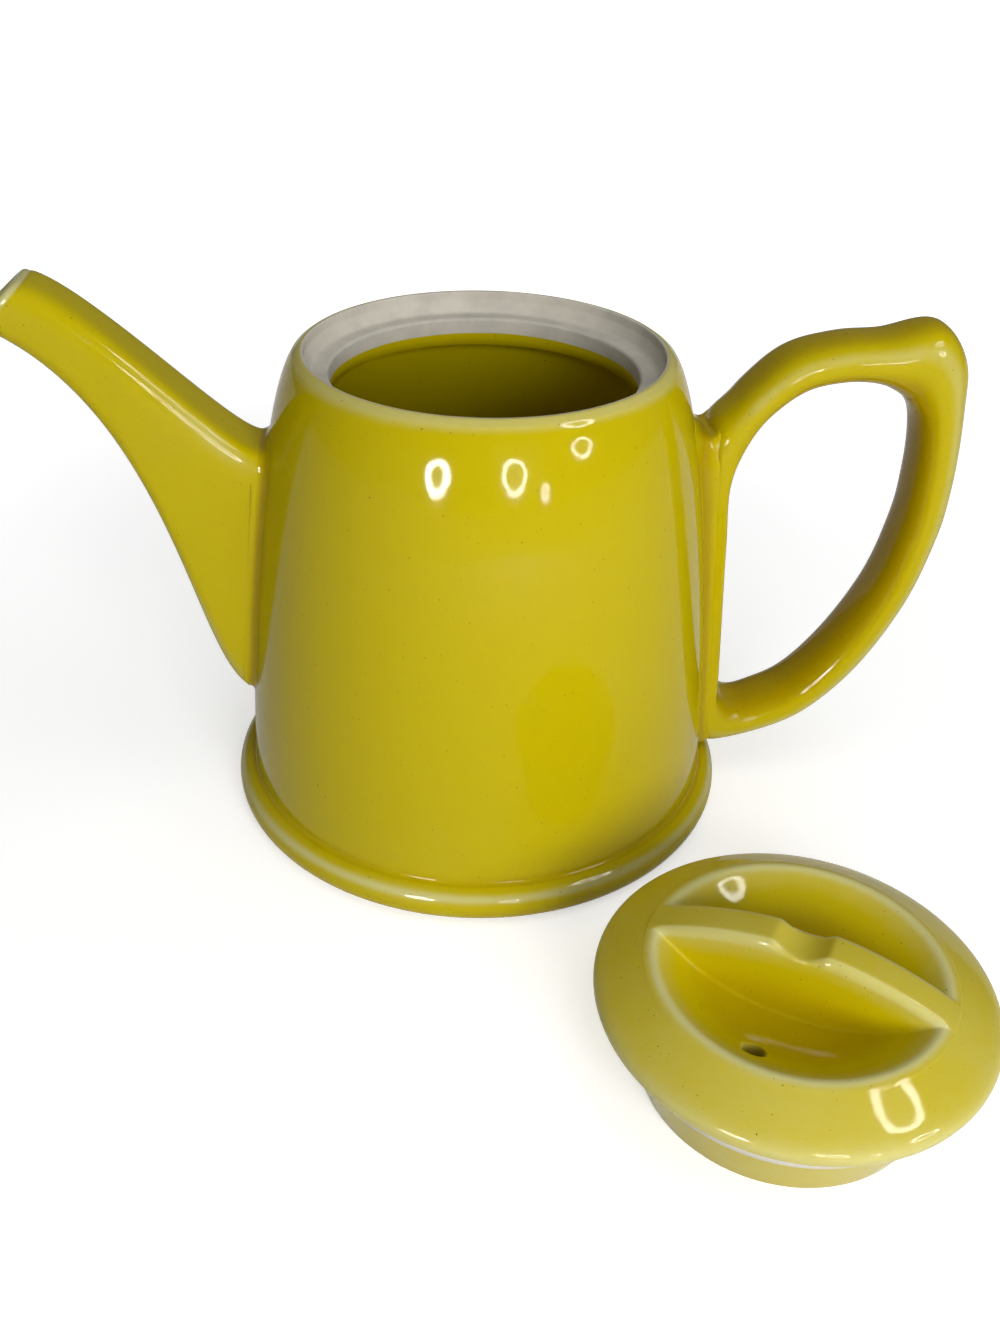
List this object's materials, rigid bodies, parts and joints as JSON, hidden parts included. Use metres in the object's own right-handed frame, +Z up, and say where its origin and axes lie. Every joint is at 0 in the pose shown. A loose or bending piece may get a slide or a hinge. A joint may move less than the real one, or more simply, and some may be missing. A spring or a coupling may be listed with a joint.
{
  "type": "teapot with lid",
  "caption": "Dome-bodied china teapot with a ridged base flange, a flat-sided spout, an open loop handle and a lift-off lid that stands beside it.",
  "frame": {"origin": "centre of the foot ring's flat underside, on the pot's axis", "axes": "+Z up along the pot's axis, -X towards the spout, +X towards the handle, -Y towards the side where the lid stands"},
  "size_m": [0.2334, 0.2198, 0.139],
  "materials": {
    "pot_glaze": "gloss",
    "spout_glaze": "gloss",
    "handle_glaze": "gloss",
    "lid_glaze": "gloss"
  },
  "bodies": {
    "pot": {"pot_body": "pot_glaze", "spout": "spout_glaze", "handle": "handle_glaze"},
    "lid": {"lid": "lid_glaze"}
  },
  "joints": [
    {"name": "lid_lift", "type": "slide", "parent": "pot", "child": "lid", "axis": [0, 0, 1], "range_m": [0, 0.16]}
  ]
}
